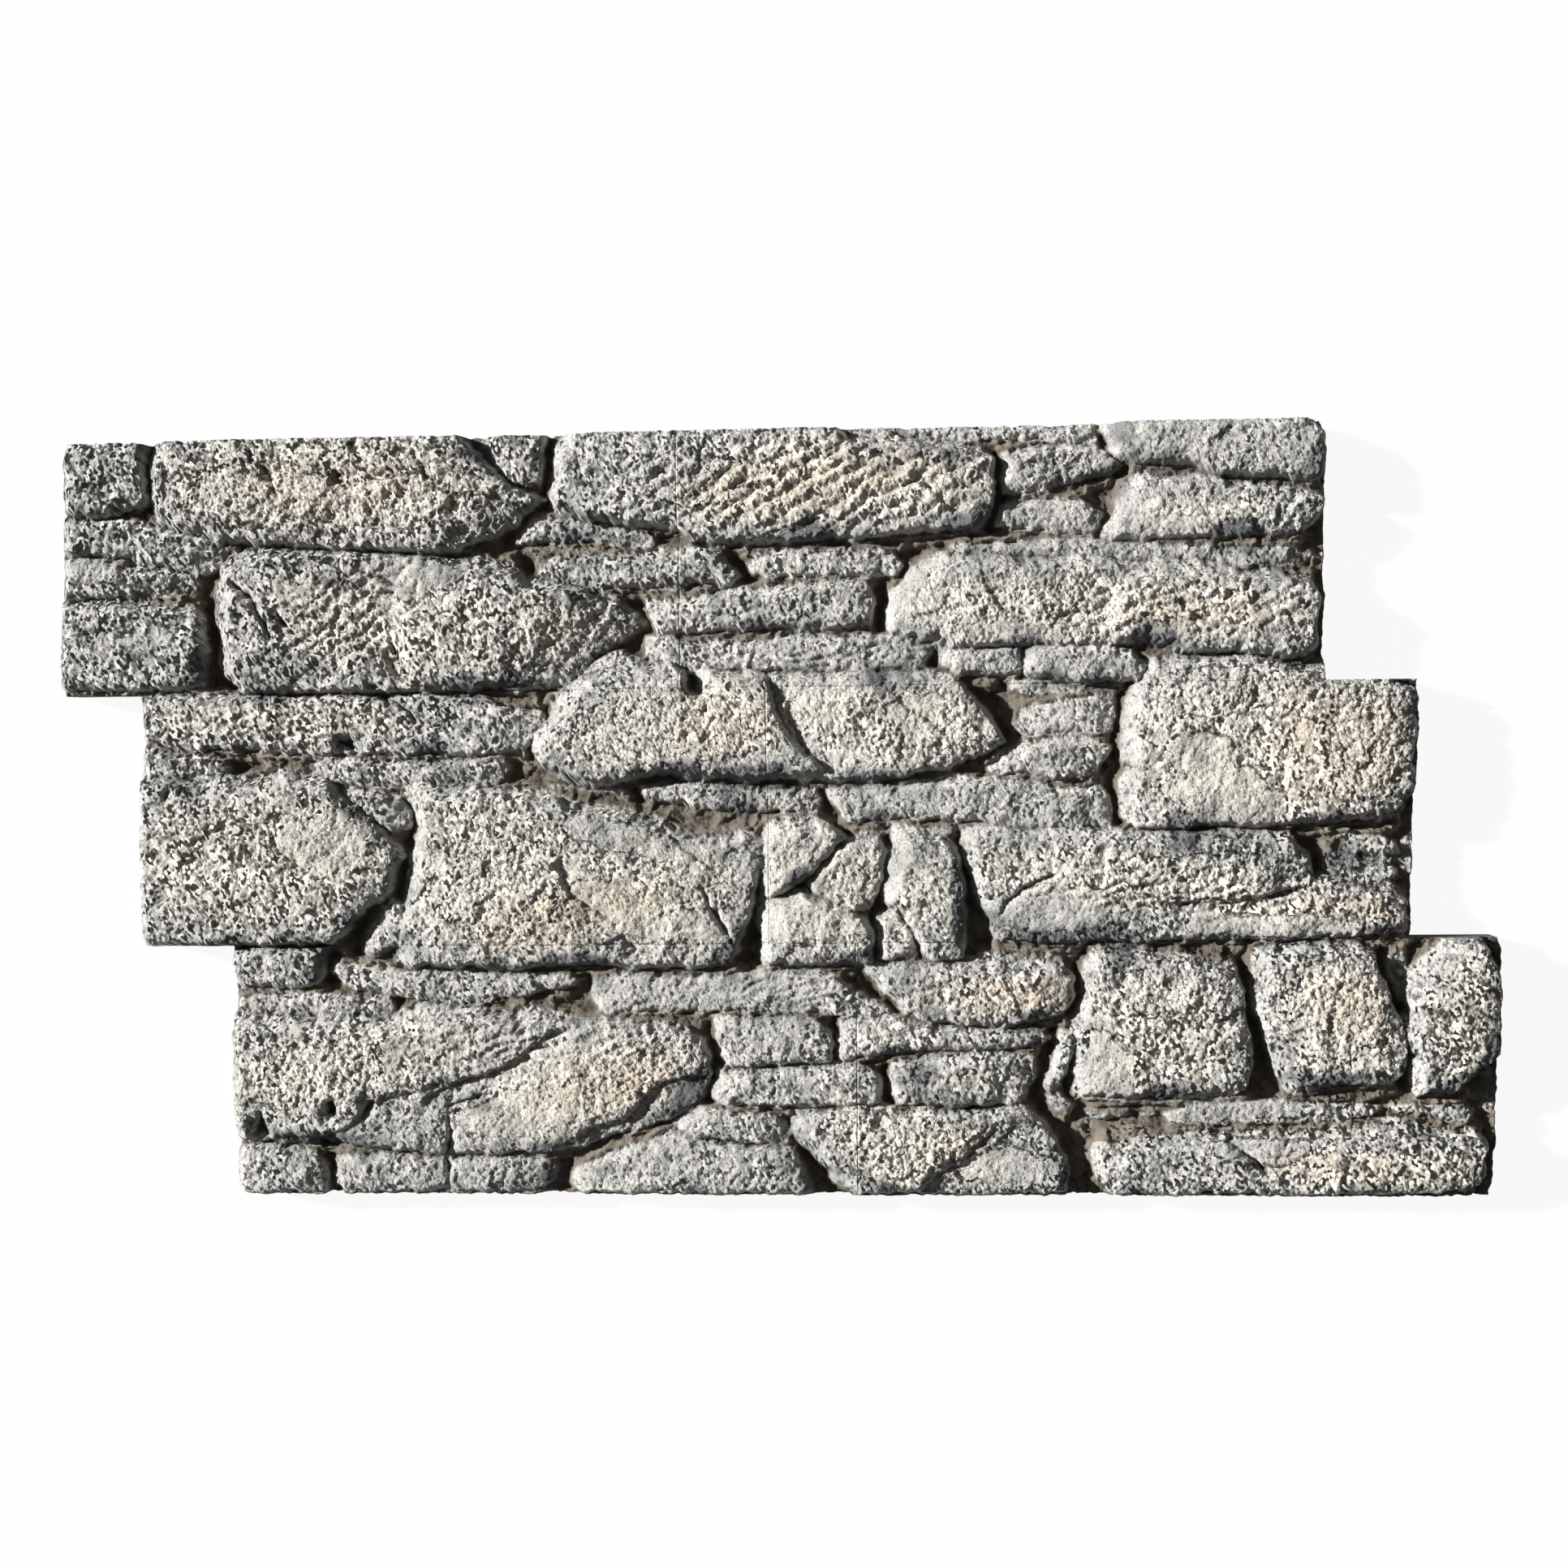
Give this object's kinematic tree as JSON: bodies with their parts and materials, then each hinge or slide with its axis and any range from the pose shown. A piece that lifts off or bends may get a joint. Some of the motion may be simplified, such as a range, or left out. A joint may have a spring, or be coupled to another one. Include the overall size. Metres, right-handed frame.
{
  "type": "faux stone wall panel",
  "caption": "Moulded decorative wall panel with stepped ends, its face formed as rough dry laid stones of mixed sizes with deep joints, its back flat; lying on its back.",
  "frame": {"origin": "middle of the flat back, at the foot of the bounding box", "axes": "+X along the courses, towards the end where the bottom course stands out; +Y up the wall; +Z out of the wall, through the stone faces"},
  "size_m": [1.135, 0.6, 0.05],
  "materials": {
    "painted_stone": "matte paint on rigid foam, cream stones with grey edges and brown joints"
  },
  "bodies": {
    "root": {"stone_panel": "painted_stone"}
  },
  "joints": []
}
